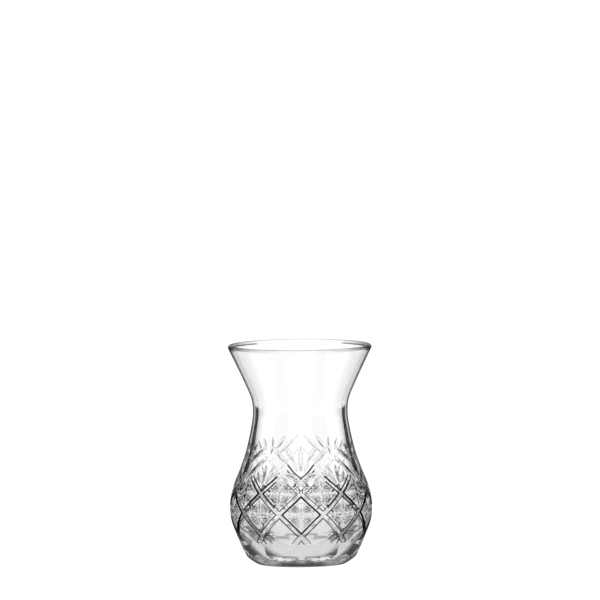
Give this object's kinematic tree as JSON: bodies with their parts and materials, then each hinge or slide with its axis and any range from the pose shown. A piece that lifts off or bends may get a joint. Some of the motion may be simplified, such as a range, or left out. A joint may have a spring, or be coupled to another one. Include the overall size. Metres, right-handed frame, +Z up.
{
  "type": "tea glass",
  "caption": "Clear waisted tea glass with a flared mouth, a thick base and a cut-crystal belly of mitred diamonds, fans and flat base panels.",
  "frame": {"origin": "centre of the foot ring, in the plane that the glass stands on", "axes": "+Z up through the mouth; -Y is the front, where one fan of the cut pattern is centred"},
  "size_m": [0.057, 0.057, 0.087],
  "materials": {
    "glass": "clear soda-lime glass, fire-polished"
  },
  "bodies": {
    "root": {"glass": "glass"}
  },
  "joints": []
}
